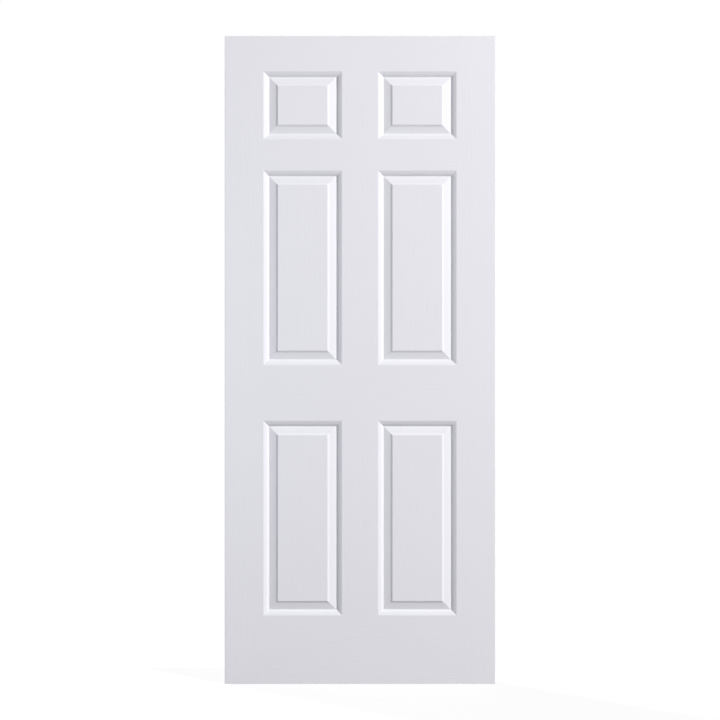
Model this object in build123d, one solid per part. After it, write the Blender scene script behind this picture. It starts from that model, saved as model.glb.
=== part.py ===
from build123d import *
import os
from itertools import pairwise, product

# Six-panel steel door leaf, of the kind sold as a blank slab: two pressed steel skins on a
# wood frame, filled with rigid foam. Nothing is bored or cut for hinges or a lock yet.
#
# Frame: origin at the middle of the bottom edge, X to the right as seen from the front, the
# front face at -Y, Z up. The hinge stile is at -X and the lock stile at +X. All sizes are mm.

# Size of the leaf
door_width = 848.0
door_height = 2032.0
door_thickness = 44.5

# Layout of the face: the flat margins round the panels
stile_face = 121.5
mullion_face = 114.0
top_rail_face = 111.0
frieze_rail_face = 99.0
lock_rail_face = 175.5
bottom_rail_face = 215.5
top_panel_height = 212.0

# Moulding pressed round each panel, from its outer edge in to the raised field
moulding_depth = 9.5
outer_bevel_width = 17.0
field_bevel_width = 22.0
shoulder_width = 6.0
shoulder_rise = 3.3
lip_inside_radius = 3.4
valley_inside_radius = 5.0
shoulder_inside_radius = 8.0
field_inside_radius = 0.9
moulding_run_out = 4.0

# Steel skins: sheet folded round the long edges of the leaf and hooked into the stiles
skin_gauge = 0.6
edge_return = 9.0
hem_depth = 6.0
fold_inside_radius = 0.6

# Wood frame inside the skins
stile_depth = 38.0
top_rail_height = 50.0
bottom_rail_height = 60.0
kerf_clearance = 0.4

# Lock block, beside the lock stile and centred on the height of the lock
lock_height = 914.0
lock_block_width = 70.0
lock_block_height = 400.0

# Staples across the corner joints of the frame, driven by turns from the front and the back
staple_crown = 25.0
staple_leg = 19.0
staple_wire_width = 1.6
staple_wire_thickness = 1.3
staple_inside_radius = 0.4
staples_per_corner = 4

# Sizes that follow from those above
half_width = door_width / 2
half_thickness = door_thickness / 2
frame_thickness = door_thickness - 2 * skin_gauge
stile_inner_x = half_width - stile_depth
panel_width = (door_width - 2 * stile_face - mullion_face) / 2
rail_faces = top_rail_face + frieze_rail_face + lock_rail_face + bottom_rail_face
tall_panel_height = (door_height - rail_faces - top_panel_height) / 2
quarter_turn = 90


def sheet_line(corners, inside_radii, gauge, depth):
    """The line at a depth under the outer side of a sheet that is bent at the given corners.

    The corners are those of the outer side, and the sheet lies to their right. Each bend keeps
    its inside radius, whichever side of the sheet that is on."""
    directions = [(end - start).normalized() for start, end in pairwise(corners)]
    normals = [Vector(direction.Y, -direction.X) for direction in directions]
    points = [corners[0] + normals[0] * depth]
    radii = []
    for number, inside_radius in enumerate(inside_radii):
        before, after = normals[number : number + 2]
        points.append(corners[number + 1] + (before + after) * (depth / (1 + before.dot(after))))
        bends_right = directions[number].cross(directions[number + 1]).Z < 0
        radii.append(inside_radius + (gauge - depth if bends_right else depth))
    points.append(corners[-1] + normals[-1] * depth)
    return FilletPolyline(*points, radius=radii)


def bent_sheet(corners, inside_radii, gauge, width):
    """A strip of sheet bent at the given corners in plan, standing up by its width."""
    outer = sheet_line(corners, inside_radii, gauge, 0)
    inner = sheet_line(corners, inside_radii, gauge, gauge)
    ends = [Line(outer @ 0, inner @ 0), Line(outer @ 1, inner @ 1)]
    return extrude(make_face(outer.edges() + inner.edges() + ends), width)


def panels():
    """Each panel of the face, as (middle x, middle z, width, height)."""
    rows = [
        (bottom_rail_face, tall_panel_height),
        (bottom_rail_face + tall_panel_height + lock_rail_face, tall_panel_height),
        (door_height - top_rail_face - top_panel_height, top_panel_height),
    ]
    middle_x = (mullion_face + panel_width) / 2
    return [
        (side * middle_x, bottom + height / 2, panel_width, height)
        for (bottom, height), side in product(rows, (-1, 1))
    ]


def moulding_section(depth):
    """Section of the groove that the moulding forms, sunk by a depth under the sheet's outer side.

    X runs back from the front face and Y in from the panel's edge. The groove is open in front."""
    shoulder_start = outer_bevel_width + field_bevel_width
    field_edge = shoulder_start + shoulder_width
    corners = [
        Vector(0, -moulding_run_out),
        Vector(0, 0),
        Vector(moulding_depth, outer_bevel_width),
        Vector(shoulder_rise, shoulder_start),
        Vector(0, field_edge),
        Vector(0, field_edge + moulding_run_out),
    ]
    radii = [lip_inside_radius, valley_inside_radius, shoulder_inside_radius, field_inside_radius]
    bends = sheet_line(corners, radii, skin_gauge, depth).edges()[1:-1]
    start, end = bends[0] @ 0, bends[-1] @ 1
    front = -moulding_run_out
    opening = Polyline(end, (front, end.Y), (front, start.Y), start)
    return make_face(bends + opening.edges())


def mitred_length(section, length):
    """A straight length of the groove along X, mitred at both ends, in from an edge of that length."""
    bar = extrude(Plane.YZ * section, length, both=True)
    for side in (-1, 1):
        mitre = Plane(origin=(side * length / 2, 0, 0), z_dir=(side, 0, 1))
        bar = split(bar, bisect_by=mitre, keep=Keep.BOTTOM)
    return bar


def moulding_groove(depth, width, height):
    """The groove round one panel, about the panel's middle: four lengths mitred together."""
    section = moulding_section(depth)
    lengths = [
        Rot(0, quarter_turn * number, 0) * Pos(0, 0, -across / 2) * mitred_length(section, along)
        for number, (along, across) in enumerate([(width, height), (height, width)] * 2)
    ]
    return lengths[0] + lengths[1:]


def moulding_grooves(depth):
    """The grooves round all six panels of the front."""
    return [
        Pos(middle_x, -half_thickness, middle_z) * moulding_groove(depth, width, height)
        for middle_x, middle_z, width, height in panels()
    ]


def facing_back(shape):
    """A shape of the front, turned round the leaf's upright axis to the back."""
    return Rot(0, 0, 2 * quarter_turn) * shape


def front_skin():
    """Pressed sheet of the front, folded back along both edges and hooked into the stiles."""
    hem_y = edge_return - half_thickness
    corners = [
        Vector(half_width - hem_depth, hem_y),
        Vector(half_width, hem_y),
        Vector(half_width, -half_thickness),
        Vector(-half_width, -half_thickness),
        Vector(-half_width, hem_y),
        Vector(hem_depth - half_width, hem_y),
    ]
    folds = [fold_inside_radius] * (len(corners) - 2)
    blank = bent_sheet(corners, folds, skin_gauge, door_height)
    return blank + moulding_grooves(skin_gauge) - moulding_grooves(0)


def lock_stile():
    """Full-height edge of the frame: a tongue shows between the folded edges of the skins."""
    at_inner_edge = (Align.MIN, Align.CENTER)
    body = Rectangle(stile_depth - skin_gauge, frame_thickness, align=at_inner_edge)
    body = fillet(body.vertices().group_by(Axis.X)[-1], fold_inside_radius)
    tongue = Rectangle(stile_depth, door_thickness - 2 * edge_return, align=at_inner_edge)
    kerf_width = kerf_clearance + skin_gauge + fold_inside_radius
    kerf = Rectangle(hem_depth + kerf_clearance, kerf_width, align=(Align.MAX, Align.CENTER))
    kerf_y = half_thickness - edge_return - kerf_clearance + kerf_width / 2
    section = body + tongue - [Pos(stile_depth, side * kerf_y) * kerf for side in (-1, 1)]
    return Pos(stile_inner_x, 0) * extrude(section, door_height)


def rail(bottom, height):
    """A rail between the stiles, as thick as the frame."""
    return Pos(0, 0, bottom) * Box(
        2 * stile_inner_x, frame_thickness, height, align=(Align.CENTER, Align.CENTER, Align.MIN)
    )


def core_space():
    """The room that the frame and the two skins leave between them."""
    space = rail(bottom_rail_height, door_height - bottom_rail_height - top_rail_height)
    grooves = moulding_grooves(skin_gauge)
    return space - grooves - [facing_back(groove) for groove in grooves]


def lock_block_blank():
    """The lock block as sawn, before it is fitted between the skins."""
    return Pos(stile_inner_x, 0, lock_height) * Box(
        lock_block_width,
        frame_thickness,
        lock_block_height,
        align=(Align.MAX, Align.CENTER, Align.CENTER),
    )


def staple():
    """One staple with its crown flush in the front of the frame and its legs into the wood."""
    half_crown = staple_crown / 2
    corners = [
        Vector(half_crown, staple_leg),
        Vector(half_crown, 0),
        Vector(-half_crown, 0),
        Vector(-half_crown, staple_leg),
    ]
    bends = [staple_inside_radius] * (len(corners) - 2)
    wire = bent_sheet(corners, bends, staple_wire_thickness, staple_wire_width)
    return Pos(0, -frame_thickness / 2, -staple_wire_width / 2) * wire


def corner_staples():
    """The staples of all four corners, evenly spaced up the end of each rail."""
    rails = [(0, bottom_rail_height), (door_height - top_rail_height, top_rail_height)]
    staples = []
    for (bottom, height), side, number in product(rails, (-1, 1), range(staples_per_corner)):
        z = bottom + height * (number + 1) / (staples_per_corner + 1)
        one = facing_back(staple()) if number % 2 else staple()
        staples.append(Pos(side * stile_inner_x, 0, z) * one)
    return staples


skin = front_skin()
staples = corner_staples()
right_stile = lock_stile()
space = core_space()

parts = {
    "front_skin": skin,
    "back_skin": facing_back(skin),
    "hinge_stile": facing_back(right_stile) - staples,
    "lock_stile": right_stile - staples,
    "top_rail": rail(door_height - top_rail_height, top_rail_height) - staples,
    "bottom_rail": rail(0, bottom_rail_height) - staples,
    "lock_block": space & lock_block_blank(),
    "corner_staples": Compound(staples),
    "foam_core": space - lock_block_blank(),
}

os.makedirs("parts", exist_ok=True)
for name, shape in parts.items():
    export_step(shape, f"parts/{name}.step")
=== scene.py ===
"""Looks of a six-panel steel door leaf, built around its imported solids.

The skins get fine meshes of their pressed mouldings and a painted finish with pressed wood
grain; the wood frame, core and staples keep their solids and get finishes of their own.
All lengths are metres, in the frame of the solids.
"""

import logging
import math
from dataclasses import dataclass, field, replace
from enum import Enum
from functools import cached_property

import bmesh
import bpy
from mathutils import Matrix, Vector


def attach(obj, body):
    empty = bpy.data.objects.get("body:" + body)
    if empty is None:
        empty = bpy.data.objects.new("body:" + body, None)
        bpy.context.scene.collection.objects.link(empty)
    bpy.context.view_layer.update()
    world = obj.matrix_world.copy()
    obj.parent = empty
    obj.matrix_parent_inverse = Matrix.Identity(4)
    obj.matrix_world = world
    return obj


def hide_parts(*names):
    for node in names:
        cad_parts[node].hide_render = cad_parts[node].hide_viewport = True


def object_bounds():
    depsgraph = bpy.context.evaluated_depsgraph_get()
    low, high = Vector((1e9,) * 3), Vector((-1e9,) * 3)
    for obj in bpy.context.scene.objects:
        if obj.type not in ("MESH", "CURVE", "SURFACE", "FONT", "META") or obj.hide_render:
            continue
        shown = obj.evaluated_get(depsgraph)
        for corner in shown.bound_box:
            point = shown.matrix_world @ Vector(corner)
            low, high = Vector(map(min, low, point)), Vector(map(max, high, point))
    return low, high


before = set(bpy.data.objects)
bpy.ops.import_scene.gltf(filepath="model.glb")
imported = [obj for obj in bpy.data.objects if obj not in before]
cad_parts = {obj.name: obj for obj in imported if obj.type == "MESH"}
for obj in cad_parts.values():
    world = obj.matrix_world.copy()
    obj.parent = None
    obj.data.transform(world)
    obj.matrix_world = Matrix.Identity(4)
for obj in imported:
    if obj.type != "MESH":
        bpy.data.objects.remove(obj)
cad_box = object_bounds()

log = logging.getLogger("door_leaf")

ROOT_BODY = "root"
MM = 0.001
NEAR = 1e-6


class Grain(Enum):
    """Which way the wood grain pressed into a part of the skin runs."""

    UPRIGHT = "upright"
    LEVEL = "level"
    NONE = "smooth"


class Along(Enum):
    """The axis that a length of timber runs along."""

    X = 0
    Z = 2


class NodeBoard:
    """The node tree of one material or world, with short ways to add and join nodes."""

    def __init__(self, owner: bpy.types.ID) -> None:
        """Takes over the owner's node tree, emptied.

        Args:
            owner: The material or world.
        """
        owner.use_nodes = True
        self.tree = owner.node_tree
        self.tree.nodes.clear()

    def add(self, kind: str, **values: object) -> bpy.types.Node:
        """Adds a node.

        Args:
            kind: Node type without its ShaderNode prefix.
            values: Input sockets by name, spaces as underscores: a number, a colour or an
                output socket to join. Names that aren't sockets are set on the node.

        Returns:
            The new node.
        """
        node = self.tree.nodes.new("ShaderNode" + kind)
        for key, value in values.items():
            if key in node.bl_rna.properties:
                setattr(node, key, value)
                continue
            socket = self.socket(node, key)
            if isinstance(value, bpy.types.NodeSocket):
                self.tree.links.new(value, socket)
            else:
                socket.default_value = value
        return node

    @staticmethod
    def socket(node: bpy.types.Node, key: str) -> bpy.types.NodeSocket:
        """Finds an input socket by its name or identifier, spaces as underscores."""
        for socket in node.inputs:
            if key in (socket.identifier.replace(" ", "_"), socket.name.replace(" ", "_")):
                return socket
        raise KeyError(f"{node.bl_idname} has no input {key}")

    def math(self, operation: str, *terms: object) -> bpy.types.NodeSocket:
        """Adds a Math node.

        Args:
            operation: Blender's name for it, such as MULTIPLY.
            terms: Numbers or output sockets.

        Returns:
            The result's socket.
        """
        node = self.tree.nodes.new("ShaderNodeMath")
        node.operation = operation
        for socket, term in zip(node.inputs, terms):
            if isinstance(term, bpy.types.NodeSocket):
                self.tree.links.new(term, socket)
            else:
                socket.default_value = term
        return node.outputs[0]

    def ramp(self, value: bpy.types.NodeSocket, *stops: tuple) -> bpy.types.NodeSocket:
        """Adds a colour ramp.

        Args:
            value: The socket that drives it.
            stops: Pairs of place and grey level or colour.

        Returns:
            The colour's socket.
        """
        node = self.add("ValToRGB", Fac=value)
        elements = node.color_ramp.elements
        while len(elements) < len(stops):
            elements.new(1.0)
        for element, (place, tint) in zip(elements, stops):
            element.position = place
            level = (tint,) * 3 if isinstance(tint, float) else tint
            element.color = (*level, 1.0)
        return node.outputs["Color"]

    def mix(self, factor: object, low: object, high: object) -> bpy.types.NodeSocket:
        """Adds a colour mix.

        Args:
            factor: Share of the second colour, a number or socket.
            low: First colour, RGBA or socket.
            high: Second colour, RGBA or socket.

        Returns:
            The colour's socket.
        """
        node = self.add("Mix", data_type="RGBA", Factor_Float=factor, A_Color=low, B_Color=high)
        return next(out for out in node.outputs if out.identifier == "Result_Color")

    def multiply(self, colour: bpy.types.NodeSocket, by: bpy.types.NodeSocket) -> bpy.types.NodeSocket:
        """Multiplies a colour by another."""
        node = self.add("Mix", data_type="RGBA", blend_type="MULTIPLY", Factor_Float=1.0,
                        A_Color=colour, B_Color=by)
        return next(out for out in node.outputs if out.identifier == "Result_Color")

    def shifted(self, vector: bpy.types.NodeSocket, by: bpy.types.NodeSocket) -> bpy.types.NodeSocket:
        """Moves a texture's coordinates by the same amount on every axis."""
        node = self.tree.nodes.new("ShaderNodeVectorMath")
        node.operation = "ADD"
        self.tree.links.new(vector, node.inputs[0])
        self.tree.links.new(by, node.inputs[1])
        return node.outputs[0]

    def stretched(self, scale: tuple) -> bpy.types.NodeSocket:
        """Adds the piece's own coordinates, scaled on each axis, in features a metre."""
        coordinates = self.add("TexCoord").outputs["Object"]
        return self.add("Mapping", Vector=coordinates, Scale=scale).outputs["Vector"]

    def finish(self, shader: bpy.types.NodeSocket, kind: str = "OutputMaterial") -> None:
        """Joins the shader to the output."""
        self.add(kind, Surface=shader)


def new_material(name: str) -> tuple[bpy.types.Material, NodeBoard]:
    """Makes an empty material.

    Args:
        name: Its name.

    Returns:
        The material and its node board.
    """
    material = bpy.data.materials.new(name)
    return material, NodeBoard(material)


@dataclass(frozen=True)
class PrimedPaint:
    """Factory-primed steel sheet, satin, with a shallow wood grain pressed into it."""

    colour: tuple = (0.778, 0.775, 0.818, 1.0)
    worn_colour: tuple = (0.758, 0.755, 0.797, 1.0)
    roughness_low: float = 0.5
    roughness_high: float = 0.6
    pore_width: float = 2.6 * MM
    pore_length: float = 70 * MM
    figure_width: float = 16 * MM
    figure_length: float = 420 * MM
    pore_edges: tuple = (0.38, 0.58)
    figure_rings: float = 42.0
    figure_share: float = 0.28
    grain_depth: float = 0.075 * MM
    peel_size: float = 1.4 * MM
    peel_depth: float = 0.006 * MM
    clouds_a_metre: float = 9.0
    cloud_edges: tuple = (0.35, 0.75)
    cloud_share: float = 0.35
    shine: float = 0.2

    def scale(self, grain: Grain, across: float, along: float) -> tuple:
        """Features a metre on each axis, for a texture that runs with the grain."""
        if grain is Grain.LEVEL:
            return (1 / along, 1 / across, 1 / across)
        return (1 / across, 1 / across, 1 / along)

    def grain_height(self, board: NodeBoard, grain: Grain) -> bpy.types.NodeSocket:
        """Height of the pressed grain: long broken pores over a slow wavy figure.

        Args:
            board: The material's nodes.
            grain: Which way the grain runs.

        Returns:
            Height from 0 to 1.
        """
        pores = board.add(
            "TexNoise",
            Vector=board.stretched(self.scale(grain, self.pore_width, self.pore_length)),
            Scale=1.0, Detail=3.0, Roughness=0.6, Distortion=0.15,
        )
        pore_start, pore_end = self.pore_edges
        pore_lines = board.ramp(pores.outputs[0], (pore_start, 0.0), (pore_end, 1.0))
        figure = board.add(
            "TexNoise",
            Vector=board.stretched(self.scale(grain, self.figure_width, self.figure_length)),
            Scale=1.0, Detail=2.0, Roughness=0.5, Distortion=0.6,
        )
        rings = board.math("MULTIPLY", figure.outputs[0], self.figure_rings)
        soft_ridges = board.math("MULTIPLY", board.math("SINE", rings), self.figure_share)
        return board.math("ADD", pore_lines, soft_ridges)

    def material(self, grain: Grain) -> bpy.types.Material:
        """Makes the paint for one run of the grain.

        Args:
            grain: Which way the grain runs.

        Returns:
            The material.
        """
        material, board = new_material(f"primed_paint_{grain.value}")
        peel = board.add(
            "TexNoise", Vector=board.stretched((1 / self.peel_size,) * 3), Scale=1.0, Detail=1.0
        )
        normal = board.add(
            "Bump", Strength=1.0, Distance=self.peel_depth, Height=peel.outputs[0]
        ).outputs[0]
        if grain is not Grain.NONE:
            normal = board.add(
                "Bump", Strength=1.0, Distance=self.grain_depth,
                Height=self.grain_height(board, grain), Normal=normal,
            ).outputs[0]
        cloud = board.add(
            "TexNoise", Vector=board.stretched((self.clouds_a_metre,) * 3), Scale=1.0, Detail=3.0
        )
        cloud_start, cloud_end = self.cloud_edges
        wear = board.ramp(cloud.outputs[0], (cloud_start, 0.0), (cloud_end, self.cloud_share))
        colour = board.mix(wear, self.colour, self.worn_colour)
        roughness = board.add(
            "MapRange", Value=cloud.outputs[0], To_Min=self.roughness_low, To_Max=self.roughness_high
        )
        shader = board.add(
            "BsdfPrincipled", Base_Color=colour, Roughness=roughness.outputs[0], Normal=normal,
            Specular_IOR_Level=self.shine,
        )
        board.finish(shader.outputs[0])
        return material


@dataclass(frozen=True)
class PlanedPine:
    """Bare planed softwood, in one length or finger-jointed from short ones."""

    early_colour: tuple = (0.72, 0.53, 0.32)
    late_colour: tuple = (0.50, 0.29, 0.13)
    ring_width: float = 5.5 * MM
    ring_length: float = 900 * MM
    fibre_width: float = 0.7 * MM
    fibre_length: float = 40 * MM
    ring_scale: float = 0.16
    ring_sway: float = 5.0
    fibre_edges: tuple = (0.3, 0.7)
    joint_pitch: float = 430 * MM
    finger_length: float = 11 * MM
    finger_width: float = 3.8 * MM
    glue_line: float = 1.0 * MM
    fibre_depth: float = 0.05 * MM
    block_shift: float = 40.0
    glue_colour: tuple = (0.28, 0.15, 0.07, 1.0)
    glue_share: float = 0.55
    late_start: float = 0.62
    fibre_shade: float = 0.82
    block_shade: float = 0.8
    roughness: float = 0.68

    def scale(self, along: Along, across: float, length: float) -> tuple:
        """Features a metre on each axis, for a texture that runs along the timber."""
        return tuple(1 / length if axis == along.value else 1 / across for axis in range(3))

    def blocks(self, board: NodeBoard) -> tuple[bpy.types.NodeSocket, bpy.types.NodeSocket]:
        """Splits an upright length into short blocks, joined by zigzag fingers.

        Args:
            board: The material's nodes.

        Returns:
            A random level for each block, and 1 on the glue lines.
        """
        place = board.add("SeparateXYZ", Vector=board.add("TexCoord").outputs["Object"])
        zigzag = board.math("PINGPONG", place.outputs["Y"], self.finger_width / 2)
        reach = board.math("MULTIPLY", zigzag, self.finger_length / (self.finger_width / 2))
        height = board.math("ADD", place.outputs["Z"], reach)
        turns = board.math("DIVIDE", height, self.joint_pitch)
        level = board.add(
            "TexWhiteNoise", noise_dimensions="1D", W=board.math("FLOOR", turns)
        ).outputs["Value"]
        glue = board.math("LESS_THAN", board.math("FRACT", turns), self.glue_line / self.joint_pitch)
        return level, glue

    def material(self, name: str, along: Along, jointed: bool) -> bpy.types.Material:
        """Makes the wood.

        Args:
            name: The material's name.
            along: The axis that the timber runs along.
            jointed: True where it is finger-jointed, which needs an upright length.

        Returns:
            The material.
        """
        material, board = new_material(name)
        vector = board.stretched(self.scale(along, self.ring_width, self.ring_length))
        if jointed:
            level, glue = self.blocks(board)
            vector = board.shifted(vector, board.math("MULTIPLY", level, self.block_shift))
        rings = board.add(
            "TexWave", Vector=vector, wave_type="BANDS", bands_direction="DIAGONAL",
            Scale=self.ring_scale, Distortion=self.ring_sway, Detail=2.0, Detail_Scale=0.7,
            Detail_Roughness=0.5,
        )
        colour = board.ramp(
            rings.outputs["Fac"],
            (0.0, self.early_colour), (self.late_start, self.early_colour),
            (1.0, self.late_colour),
        )
        fibres = board.add(
            "TexNoise",
            Vector=board.stretched(self.scale(along, self.fibre_width, self.fibre_length)),
            Scale=1.0, Detail=2.0,
        )
        fibre_start, fibre_end = self.fibre_edges
        fibre_tint = board.ramp(
            fibres.outputs[0], (fibre_start, self.fibre_shade), (fibre_end, 1.0)
        )
        colour = board.multiply(colour, fibre_tint)
        if jointed:
            block_tint = board.ramp(level, (0.0, self.block_shade), (1.0, 1.0))
            colour = board.multiply(colour, block_tint)
            glue_tint = board.math("MULTIPLY", glue, self.glue_share)
            colour = board.mix(glue_tint, colour, self.glue_colour)
        bump = board.add(
            "Bump", Strength=1.0, Distance=self.fibre_depth, Height=fibres.outputs[0]
        )
        shader = board.add(
            "BsdfPrincipled", Base_Color=colour, Roughness=self.roughness, Normal=bump.outputs[0]
        )
        board.finish(shader.outputs[0])
        return material


@dataclass(frozen=True)
class SawnComposite:
    """Wood-plastic composite board, cut with a fine saw."""

    colour: tuple = (0.30, 0.235, 0.165)
    speck_colour: tuple = (0.47, 0.39, 0.29)
    speck_size: float = 1.6 * MM
    speck_length: float = 4 * MM
    speck_edges: tuple = (0.35, 0.75)
    saw_pitch: float = 2.2 * MM
    saw_length: float = 500 * MM
    saw_scale: float = 0.16
    saw_sway: float = 1.2
    saw_depth: float = 0.08 * MM
    roughness: float = 0.75

    def material(self, name: str) -> bpy.types.Material:
        """Makes the composite.

        Args:
            name: The material's name.

        Returns:
            The material.
        """
        material, board = new_material(name)
        across = 1 / self.speck_size
        specks = board.add(
            "TexNoise", Vector=board.stretched((1 / self.speck_length, across, across)),
            Scale=1.0, Detail=4.0, Roughness=0.7,
        )
        speck_start, speck_end = self.speck_edges
        colour = board.ramp(
            specks.outputs[0], (speck_start, self.colour), (speck_end, self.speck_colour)
        )
        along = 1 / self.saw_length
        marks = board.add(
            "TexWave", Vector=board.stretched((1 / self.saw_pitch, along, along)),
            wave_type="BANDS", bands_direction="X", Scale=self.saw_scale,
            Distortion=self.saw_sway,
        )
        bump = board.add(
            "Bump", Strength=1.0, Distance=self.saw_depth, Height=marks.outputs["Fac"]
        )
        shader = board.add(
            "BsdfPrincipled", Base_Color=colour, Roughness=self.roughness, Normal=bump.outputs[0]
        )
        board.finish(shader.outputs[0])
        return material


@dataclass(frozen=True)
class RigidFoam:
    """Cream polyurethane foam with fine closed cells."""

    colour: tuple = (0.80, 0.66, 0.36)
    cell_colour: tuple = (0.90, 0.79, 0.50)
    cell_size: float = 0.9 * MM
    cell_depth: float = 0.2 * MM
    wall_edges: tuple = (0.1, 0.7)
    roughness: float = 0.9

    def material(self, name: str) -> bpy.types.Material:
        """Makes the foam.

        Args:
            name: The material's name.

        Returns:
            The material.
        """
        material, board = new_material(name)
        cells = board.add("TexVoronoi", Vector=board.stretched((1 / self.cell_size,) * 3), Scale=1.0)
        wall_start, wall_end = self.wall_edges
        colour = board.ramp(
            cells.outputs["Distance"], (wall_start, self.colour), (wall_end, self.cell_colour)
        )
        bump = board.add(
            "Bump", Strength=1.0, Distance=self.cell_depth, Height=cells.outputs["Distance"]
        )
        shader = board.add(
            "BsdfPrincipled", Base_Color=colour, Roughness=self.roughness, Normal=bump.outputs[0]
        )
        board.finish(shader.outputs[0])
        return material


@dataclass(frozen=True)
class GalvanisedSteel:
    """Zinc-coated steel, bare where the sheet or wire was cut."""

    colour: tuple = (0.60, 0.61, 0.62)
    dull_colour: tuple = (0.44, 0.45, 0.47)
    spangle_size: float = 6 * MM
    roughness: float = 0.42

    def material(self, name: str) -> bpy.types.Material:
        """Makes the zinc.

        Args:
            name: The material's name.

        Returns:
            The material.
        """
        material, board = new_material(name)
        spangle = board.add(
            "TexVoronoi", Vector=board.stretched((1 / self.spangle_size,) * 3), Scale=1.0
        )
        level = board.add("SeparateColor", Color=spangle.outputs["Color"]).outputs[0]
        colour = board.ramp(level, (0.0, self.dull_colour), (1.0, self.colour))
        shader = board.add(
            "BsdfPrincipled", Base_Color=colour, Metallic=1.0, Roughness=self.roughness
        )
        board.finish(shader.outputs[0])
        return material


@dataclass(frozen=True)
class Bend:
    """A corner of a bent line: where it would be if sharp, and its radius."""

    x: float
    y: float
    radius: float = 0.0


def rounded_line(bends: list[Bend], steps: int) -> list[tuple[float, float]]:
    """The points of a line with its corners rounded by arcs.

    Args:
        bends: The line's corners and its two ends, which have no radius.
        steps: Segments in each arc.

    Returns:
        Points along the line, arcs from tangent to tangent.
    """
    points = [(bends[0].x, bends[0].y)]
    for before, corner, after in zip(bends, bends[1:], bends[2:]):
        middle = Vector((corner.x, corner.y))
        back = (Vector((before.x, before.y)) - middle).normalized()
        ahead = (Vector((after.x, after.y)) - middle).normalized()
        half_angle = back.angle(ahead) / 2
        reach = corner.radius / math.tan(half_angle)
        centre = middle + (back + ahead).normalized() * (corner.radius / math.sin(half_angle))
        start, end = middle + back * reach - centre, middle + ahead * reach - centre
        sweep = start.angle_signed(end)
        turn = -sweep / steps
        for step in range(steps + 1):
            angle = turn * step
            spoke = Vector((
                start.x * math.cos(angle) - start.y * math.sin(angle),
                start.x * math.sin(angle) + start.y * math.cos(angle),
            ))
            points.append(tuple(centre + spoke))
    points.append((bends[-1].x, bends[-1].y))
    return points


@dataclass
class Moulding:
    """The moulding pressed round each panel, in from the panel's edge."""

    depth: float = 9.5 * MM
    outer_bevel: float = 17 * MM
    field_bevel: float = 22 * MM
    shoulder: float = 6 * MM
    shoulder_rise: float = 3.7 * MM
    knee_in: float = 10.5 * MM
    knee_depth: float = 4.3 * MM
    lip_radius: float = 9 * MM
    knee_radius: float = 20 * MM
    valley_radius: float = 3 * MM
    shoulder_radius: float = 14 * MM
    field_radius: float = 1.5 * MM
    run_out: float = 4 * MM
    steps: int = 5

    @property
    def width(self) -> float:
        """From the panel's edge to the edge of the raised field."""
        return self.outer_bevel + self.field_bevel + self.shoulder

    @cached_property
    def profile(self) -> list[tuple[float, float]]:
        """Points of the section, as distance in from the panel's edge and depth."""
        shoulder_start = self.outer_bevel + self.field_bevel
        return rounded_line(
            [
                Bend(-self.run_out, 0.0),
                Bend(0.0, 0.0, self.lip_radius),
                Bend(self.knee_in, self.knee_depth, self.knee_radius),
                Bend(self.outer_bevel, self.depth, self.valley_radius),
                Bend(shoulder_start, self.shoulder_rise, self.shoulder_radius),
                Bend(self.width, 0.0, self.field_radius),
                Bend(self.width + self.run_out, 0.0),
            ],
            self.steps,
        )


@dataclass(frozen=True)
class Panel:
    """One panel of the face, by its outer edges."""

    left: float
    right: float
    bottom: float
    top: float

    def inward(self, x: float, z: float) -> tuple[float, float]:
        """How far a point is in from the nearer upright edge and the nearer level edge."""
        return min(x - self.left, self.right - x), min(z - self.bottom, self.top - z)


@dataclass
class FaceLayout:
    """Where the panels lie on the face, and which way the grain runs round them."""

    width: float
    height: float
    stile: float = 121.5 * MM
    mullion: float = 114 * MM
    top_rail: float = 111 * MM
    frieze_rail: float = 99 * MM
    lock_rail: float = 175.5 * MM
    bottom_rail: float = 215.5 * MM
    top_panel: float = 212 * MM

    def rows(self) -> list[tuple[float, float]]:
        """Bottom and top of each row of panels."""
        rails = self.top_rail + self.frieze_rail + self.lock_rail + self.bottom_rail
        tall = (self.height - rails - self.top_panel) / 2
        low = self.bottom_rail
        middle = low + tall + self.lock_rail
        high = self.height - self.top_rail
        return [(low, low + tall), (middle, middle + tall), (high - self.top_panel, high)]

    def columns(self) -> list[tuple[float, float]]:
        """Left and right of each column of panels."""
        outer, inner = self.width / 2 - self.stile, self.mullion / 2
        return [(-outer, -inner), (inner, outer)]

    def panels(self) -> list[Panel]:
        """All the panels, from the bottom row up."""
        return [Panel(*column, *row) for row in self.rows() for column in self.columns()]

    def grain(self, x: float, z: float, moulding: Moulding) -> Grain:
        """Which way the grain runs at a point of the face.

        Args:
            x: Across the face.
            z: Up the face.
            moulding: The moulding round the panels, which is smooth.

        Returns:
            The run of the grain.
        """
        for panel in self.panels():
            inward = min(panel.inward(x, z))
            if inward > moulding.width:
                return Grain.UPRIGHT
            if inward > 0:
                return Grain.NONE
        in_a_row = any(bottom < z < top for bottom, top in self.rows())
        past_panels = abs(x) > self.width / 2 - self.stile
        return Grain.UPRIGHT if in_a_row or past_panels else Grain.LEVEL


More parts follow.
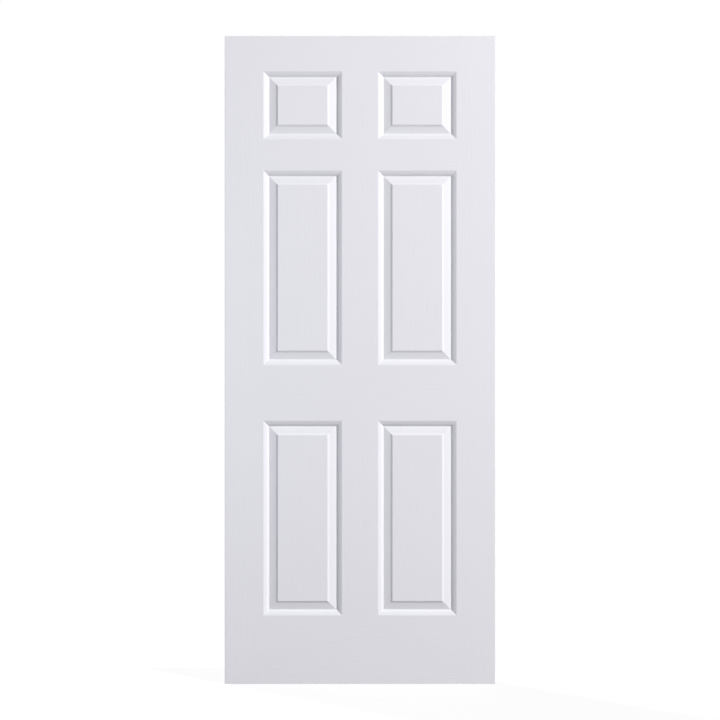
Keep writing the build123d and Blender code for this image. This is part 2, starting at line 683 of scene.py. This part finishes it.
@dataclass
class PressedSkin:
    """One steel skin: a pressed face, folded back along both edges and hooked inward."""

    node: str
    name: str
    layout: FaceLayout
    thickness: float
    moulding: Moulding = field(default_factory=Moulding)
    gauge: float = 0.6 * MM
    edge_return: float = 9 * MM
    hem: float = 6 * MM
    fold_radius: float = 1.2 * MM
    fold_steps: int = 5
    sharp_angle: float = math.radians(60)
    area_weight: int = 100
    facing_back: bool = False

    def plan_line(self) -> list[tuple[float, float]]:
        """The skin's outer side seen in plan, from hem to hem, without the mouldings."""
        half, front = self.layout.width / 2, -self.thickness / 2
        hem_y = front + self.edge_return
        line = rounded_line(
            [
                Bend(-half + self.hem, hem_y),
                Bend(-half, hem_y, self.fold_radius),
                Bend(-half, front, self.fold_radius),
                Bend(half, front, self.fold_radius),
                Bend(half, hem_y, self.fold_radius),
                Bend(half - self.hem, hem_y),
            ],
            self.fold_steps,
        )
        middle = len(line) // 2
        across = sorted(
            edge + side * distance
            for left, right in self.layout.columns()
            for edge, side in ((left, 1), (right, -1))
            for distance, _ in self.moulding.profile
        )
        return line[:middle] + [(x, front) for x in across] + line[middle:]

    def levels(self) -> list[float]:
        """The heights of the mesh's level lines."""
        edges = [0.0, self.layout.height]
        for bottom, top in self.layout.rows():
            for distance, _ in self.moulding.profile:
                edges += [bottom + distance, top - distance]
        return sorted(edges)

    def depth(self, x: float, z: float) -> float:
        """How deep the face is pressed at a point."""
        for panel in self.layout.panels():
            inward = min(panel.inward(x, z))
            points = self.moulding.profile
            if points[0][0] < inward < points[-1][0]:
                for (near, near_depth), (far, far_depth) in zip(points, points[1:]):
                    if near - NEAR <= inward <= far + NEAR:
                        share = (inward - near) / max(far - near, NEAR)
                        return near_depth + (far_depth - near_depth) * share
        return 0.0

    def mitre(self, x_pair: tuple[float, float], z_pair: tuple[float, float]) -> int:
        """Which diagonal of a cell is a mitre of a moulding.

        Args:
            x_pair: The cell's left and right.
            z_pair: The cell's bottom and top.

        Returns:
            1 for the diagonal that rises to the right, -1 for the other, 0 for neither.
        """
        for panel in self.layout.panels():
            low, high = (panel.inward(x, z) for x, z in zip(x_pair, z_pair))
            other_low, other_high = (panel.inward(x, z) for x, z in zip(x_pair, reversed(z_pair)))
            for (first, second), slope in (((low, high), 1), ((other_low, other_high), -1)):
                level = all(abs(a - b) < NEAR for a, b in (first, second))
                inside = all(-self.moulding.run_out < pair[0] < self.moulding.width + NEAR
                             for pair in (first, second))
                if level and inside:
                    return slope
        return 0

    def cells(
        self, plan: list[tuple[float, float]], flat: list[bool], levels: list[float]
    ) -> tuple[list[tuple], list[Grain], set[tuple[int, int]]]:
        """The cells between the mesh's lines, split in two along the mitres.

        Args:
            plan: The points of the plan line.
            flat: For each of them, True if it lies on the face.
            levels: The heights of the level lines.

        Returns:
            The faces, the grain on each of them, and the edges that are mitres.
        """
        faces, grains, mitres = [], [], set()
        for row, z_pair in enumerate(zip(levels, levels[1:])):
            for column, ((x, _), (next_x, _)) in enumerate(zip(plan, plan[1:])):
                a = row * len(plan) + column
                b, c, d = a + 1, a + len(plan) + 1, a + len(plan)
                on_face = flat[column] and flat[column + 1]
                middle = ((x + next_x) / 2, sum(z_pair) / 2)
                grain = self.layout.grain(*middle, self.moulding) if on_face else Grain.NONE
                slope = self.mitre((x, next_x), z_pair) if on_face else 0
                if slope == 0:
                    faces.append((a, b, c, d))
                    grains.append(grain)
                    continue
                faces += [(a, b, c), (a, c, d)] if slope > 0 else [(a, b, d), (b, c, d)]
                grains += [grain, grain]
                mitres.add((a, c) if slope > 0 else (b, d))
        return faces, grains, mitres

    def build(self) -> bpy.types.Object:
        """Builds the sheet as a closed mesh, its mitres kept sharp.

        Returns:
            The skin.
        """
        plan, levels = self.plan_line(), self.levels()
        front = -self.thickness / 2
        flat = [abs(y - front) < NEAR for _, y in plan]
        verts = [
            (x, y + (self.depth(x, z) if on_face else 0.0), z)
            for z in levels
            for (x, y), on_face in zip(plan, flat)
        ]
        faces, grains, mitres = self.cells(plan, flat, levels)
        mesh = bpy.data.meshes.new(self.name)
        mesh.from_pydata(verts, [], faces)
        mesh.update()
        skin = bpy.data.objects.new(self.name, mesh)
        bpy.context.collection.objects.link(skin)
        self.paint(mesh, grains)
        mesh.shade_smooth()
        for edge in mesh.edges:
            edge.use_edge_sharp = tuple(sorted(edge.vertices)) in mitres
        self.thicken(skin)
        if self.facing_back:
            skin.data.transform(Matrix.Rotation(math.pi, 4, "Z"))
        return skin

    @staticmethod
    def paint(mesh: bpy.types.Mesh, grains: list[Grain]) -> None:
        """Paints each face with its run of the grain, and adds bare metal for the cut edges.

        Args:
            mesh: The sheet's outer side.
            grains: The run of the grain on each of its faces.
        """
        for grain in Grain:
            mesh.materials.append(PrimedPaint().material(grain))
        slots = {grain: number for number, grain in enumerate(Grain)}
        mesh.polygons.foreach_set("material_index", [slots[grain] for grain in grains])
        mesh.materials.append(GalvanisedSteel().material("cut_edge"))

    def thicken(self, skin: bpy.types.Object) -> None:
        """Gives the sheet its gauge, inward, with bare metal on its cut edges.

        Args:
            skin: The sheet's outer side.
        """
        solidify = skin.modifiers.new("gauge", "SOLIDIFY")
        solidify.thickness = self.gauge
        solidify.offset = -1.0
        solidify.use_even_offset = True
        solidify.use_rim = True
        solidify.material_offset_rim = len(Grain)
        self.apply_modifiers(skin)
        self.sharpen(skin.data)
        even = skin.modifiers.new("even_shading", "WEIGHTED_NORMAL")
        even.keep_sharp = True
        even.weight = self.area_weight
        self.apply_modifiers(skin)

    @staticmethod
    def apply_modifiers(piece: bpy.types.Object) -> None:
        """Makes a piece's modifiers part of its mesh."""
        graph = bpy.context.evaluated_depsgraph_get()
        shaped = bpy.data.meshes.new_from_object(
            piece.evaluated_get(graph), preserve_all_data_layers=True, depsgraph=graph
        )
        piece.modifiers.clear()
        piece.data = shaped

    def sharpen(self, mesh: bpy.types.Mesh) -> None:
        """Marks the sheet's cut edges as sharp, beside the mitres.

        Args:
            mesh: The thick sheet.
        """
        shape = bmesh.new()
        shape.from_mesh(mesh)
        for edge in shape.edges:
            if edge.is_manifold and edge.calc_face_angle() > self.sharp_angle:
                edge.smooth = False
        shape.to_mesh(mesh)
        shape.free()


@dataclass
class WoodFrame:
    """The stiles and rails inside the skins, which keep their solids."""

    pine: PlanedPine = field(default_factory=PlanedPine)
    composite: SawnComposite = field(default_factory=SawnComposite)

    def dress(self) -> list[str]:
        """Gives each length of the frame its finish.

        Returns:
            The names of the dressed nodes.
        """
        stile_wood = self.pine.material("stile_pine", Along.Z, jointed=True)
        rail_wood = self.pine.material("rail_pine", Along.X, jointed=False)
        finishes = {
            "hinge_stile": stile_wood,
            "lock_stile": stile_wood,
            "top_rail": rail_wood,
            "bottom_rail": self.composite.material("bottom_rail_composite"),
        }
        for node, material in finishes.items():
            dress_node(node, material)
        return list(finishes)


@dataclass
class Filling:
    """What the skins hide: the foam, the lock block and the staples, which keep their solids."""

    foam: RigidFoam = field(default_factory=RigidFoam)
    pine: PlanedPine = field(default_factory=PlanedPine)
    wire: GalvanisedSteel = field(default_factory=GalvanisedSteel)

    def dress(self) -> list[str]:
        """Gives each hidden piece its finish.

        Returns:
            The names of the dressed nodes.
        """
        finishes = {
            "foam_core": self.foam.material("core_foam"),
            "lock_block": self.pine.material("lock_block_pine", Along.Z, jointed=False),
            "corner_staples": self.wire.material("staple_wire"),
        }
        for node, material in finishes.items():
            dress_node(node, material)
        return list(finishes)


def dress_node(node: str, material: bpy.types.Material) -> None:
    """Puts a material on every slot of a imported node.

    Args:
        node: The node's name.
        material: Its finish.
    """
    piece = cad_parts[node]
    for slot in piece.material_slots:
        slot.material = material


@dataclass(frozen=True)
class Lamp:
    """One soft square lamp.

    A far lamp's light hardly weakens across the leaf, which the Linear falloff gives.
    """

    name: str
    place: tuple
    power: float
    size: float
    falloff: str
    colour: tuple = (1.0, 1.0, 1.0)

    def hang(self, aim: Vector) -> bpy.types.Object:
        """Hangs the lamp, out of the camera's sight.

        Args:
            aim: The point that it faces.

        Returns:
            The lamp.
        """
        light = bpy.data.lights.new(self.name, "AREA")
        light.energy = self.power
        light.color = self.colour
        light.size = self.size
        board = NodeBoard(light)
        falloff = board.add("LightFalloff", Strength=1.0)
        glow = board.add("Emission", Strength=falloff.outputs[self.falloff])
        board.finish(glow.outputs[0], "OutputLight")
        lamp = bpy.data.objects.new(self.name, light)
        lamp.location = self.place
        lamp.rotation_euler = (aim - lamp.location).to_track_quat("-Z", "Y").to_euler()
        lamp.visible_camera = False
        bpy.context.collection.objects.link(lamp)
        return lamp

    def twin(self) -> "Lamp":
        """The same lamp on the other side of the leaf."""
        x, y, z = self.place
        return replace(self, name=f"{self.name}_behind", place=(-x, -y, z))


@dataclass
class Studio:
    """Floor, light and camera."""

    height: float
    front: float
    picture_height_px: float = 720.0
    leaf_height_px: float = 648.0
    lens: float = 100.0
    film: float = 36.0
    key: Lamp = Lamp("key_lamp", (5.0, -5.7, 4.3), 103.0, size=1.3, falloff="Linear")
    side: Lamp = Lamp("side_lamp", (-1.6, -0.8, 1.07), 4.5, size=0.5,
                      falloff="Quadratic", colour=(0.82, 0.84, 1.0))
    room_light: float = 0.01
    room_colour: tuple = (0.86, 0.82, 1.0, 1.0)
    white: tuple = (1.0, 1.0, 1.0, 1.0)
    floor_colour: tuple = (0.15, 0.15, 0.15, 1.0)
    floor_bounce: tuple = (0.09, 0.09, 0.09, 1.0)
    floor_glow: float = 0.85
    floor_front: float = 3.0
    floor_back: float = 0.3

    def floor(self) -> bpy.types.Object:
        """Lays a pale floor that looks white to the camera where it is lit, and keeps shadows.

        Returns:
            The floor.
        """
        side, back = self.floor_front, self.floor_back
        mesh = bpy.data.meshes.new("floor")
        corners = [(-side, -side, 0), (side, -side, 0), (side, back, 0), (-side, back, 0)]
        mesh.from_pydata(corners, [], [(0, 1, 2, 3)])
        floor = bpy.data.objects.new("floor", mesh)
        bpy.context.collection.objects.link(floor)
        material, board = new_material("pale_floor")
        seen = self.seen_directly(board)
        glow = board.add("Emission", Strength=board.math("MULTIPLY", seen, self.floor_glow))
        matt = board.add(
            "BsdfDiffuse", Color=board.mix(seen, self.floor_bounce, self.floor_colour)
        )
        both = board.tree.nodes.new("ShaderNodeAddShader")
        board.tree.links.new(glow.outputs[0], both.inputs[0])
        board.tree.links.new(matt.outputs[0], both.inputs[1])
        board.finish(both.outputs[0])
        mesh.materials.append(material)
        return floor

    @staticmethod
    def seen_directly(board: NodeBoard) -> bpy.types.NodeSocket:
        """1 for what the camera sees directly, in a reflection or through glass, otherwise 0."""
        path = board.add("LightPath").outputs
        seen = board.math("MAXIMUM", path["Is Camera Ray"], path["Is Glossy Ray"])
        return board.math("MAXIMUM", seen, path["Is Transmission Ray"])

    def room(self) -> None:
        """Makes the world white to look at, and dim as a light."""
        world = bpy.data.worlds.new("white_room")
        bpy.context.scene.world = world
        board = NodeBoard(world)
        seen = self.seen_directly(board)
        strength = board.add("MapRange", Value=seen, To_Min=self.room_light, To_Max=1.0)
        background = board.add(
            "Background", Color=board.mix(seen, self.room_colour, self.white),
            Strength=strength.outputs[0],
        )
        board.finish(background.outputs[0], "OutputWorld")

    def lamps(self) -> None:
        """Hangs a lamp high on the right, a weak cool one close on the left, and the same behind."""
        middle = Vector((0.0, 0.0, self.height / 2))
        for lamp in (self.key, self.side):
            lamp.hang(middle)
            lamp.twin().hang(middle)

    def camera(self) -> bpy.types.Object:
        """Sets the camera square on to the front, so that the leaf fills the picture as it should.

        Returns:
            The camera.
        """
        data = bpy.data.cameras.new("camera")
        data.lens = self.lens
        data.sensor_width = self.film
        data.sensor_height = self.film
        data.sensor_fit = "VERTICAL"
        picture_height = self.height * self.picture_height_px / self.leaf_height_px
        distance = picture_height * self.lens / self.film
        camera = bpy.data.objects.new("camera", data)
        camera.location = (0.0, self.front - distance, self.height / 2)
        camera.rotation_euler = (math.pi / 2, 0.0, 0.0)
        bpy.context.collection.objects.link(camera)
        bpy.context.scene.camera = camera
        return camera


def main() -> None:
    """Builds and dresses the leaf, then sets up the studio round it."""
    logging.basicConfig(level=logging.INFO, format="%(name)s: %(message)s")
    low, high = (Vector(corner) for corner in cad_box)
    layout = FaceLayout(width=high.x - low.x, height=high.z - low.z)
    thickness = high.y - low.y
    skins = [
        PressedSkin("front_skin", "front_sheet", layout, thickness),
        PressedSkin("back_skin", "back_sheet", layout, thickness, facing_back=True),
    ]
    for skin in skins:
        sheet = skin.build()
        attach(sheet, ROOT_BODY)
        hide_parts(skin.node)
        log.info("%s: %d faces", skin.name, len(sheet.data.polygons))
    for node in WoodFrame().dress() + Filling().dress():
        log.info("%s dressed", node)
    studio = Studio(height=layout.height, front=low.y)
    studio.floor()
    studio.room()
    studio.lamps()
    studio.camera()
    bpy.context.scene.view_settings.view_transform = "Standard"


if __name__ == "__main__":
    main()
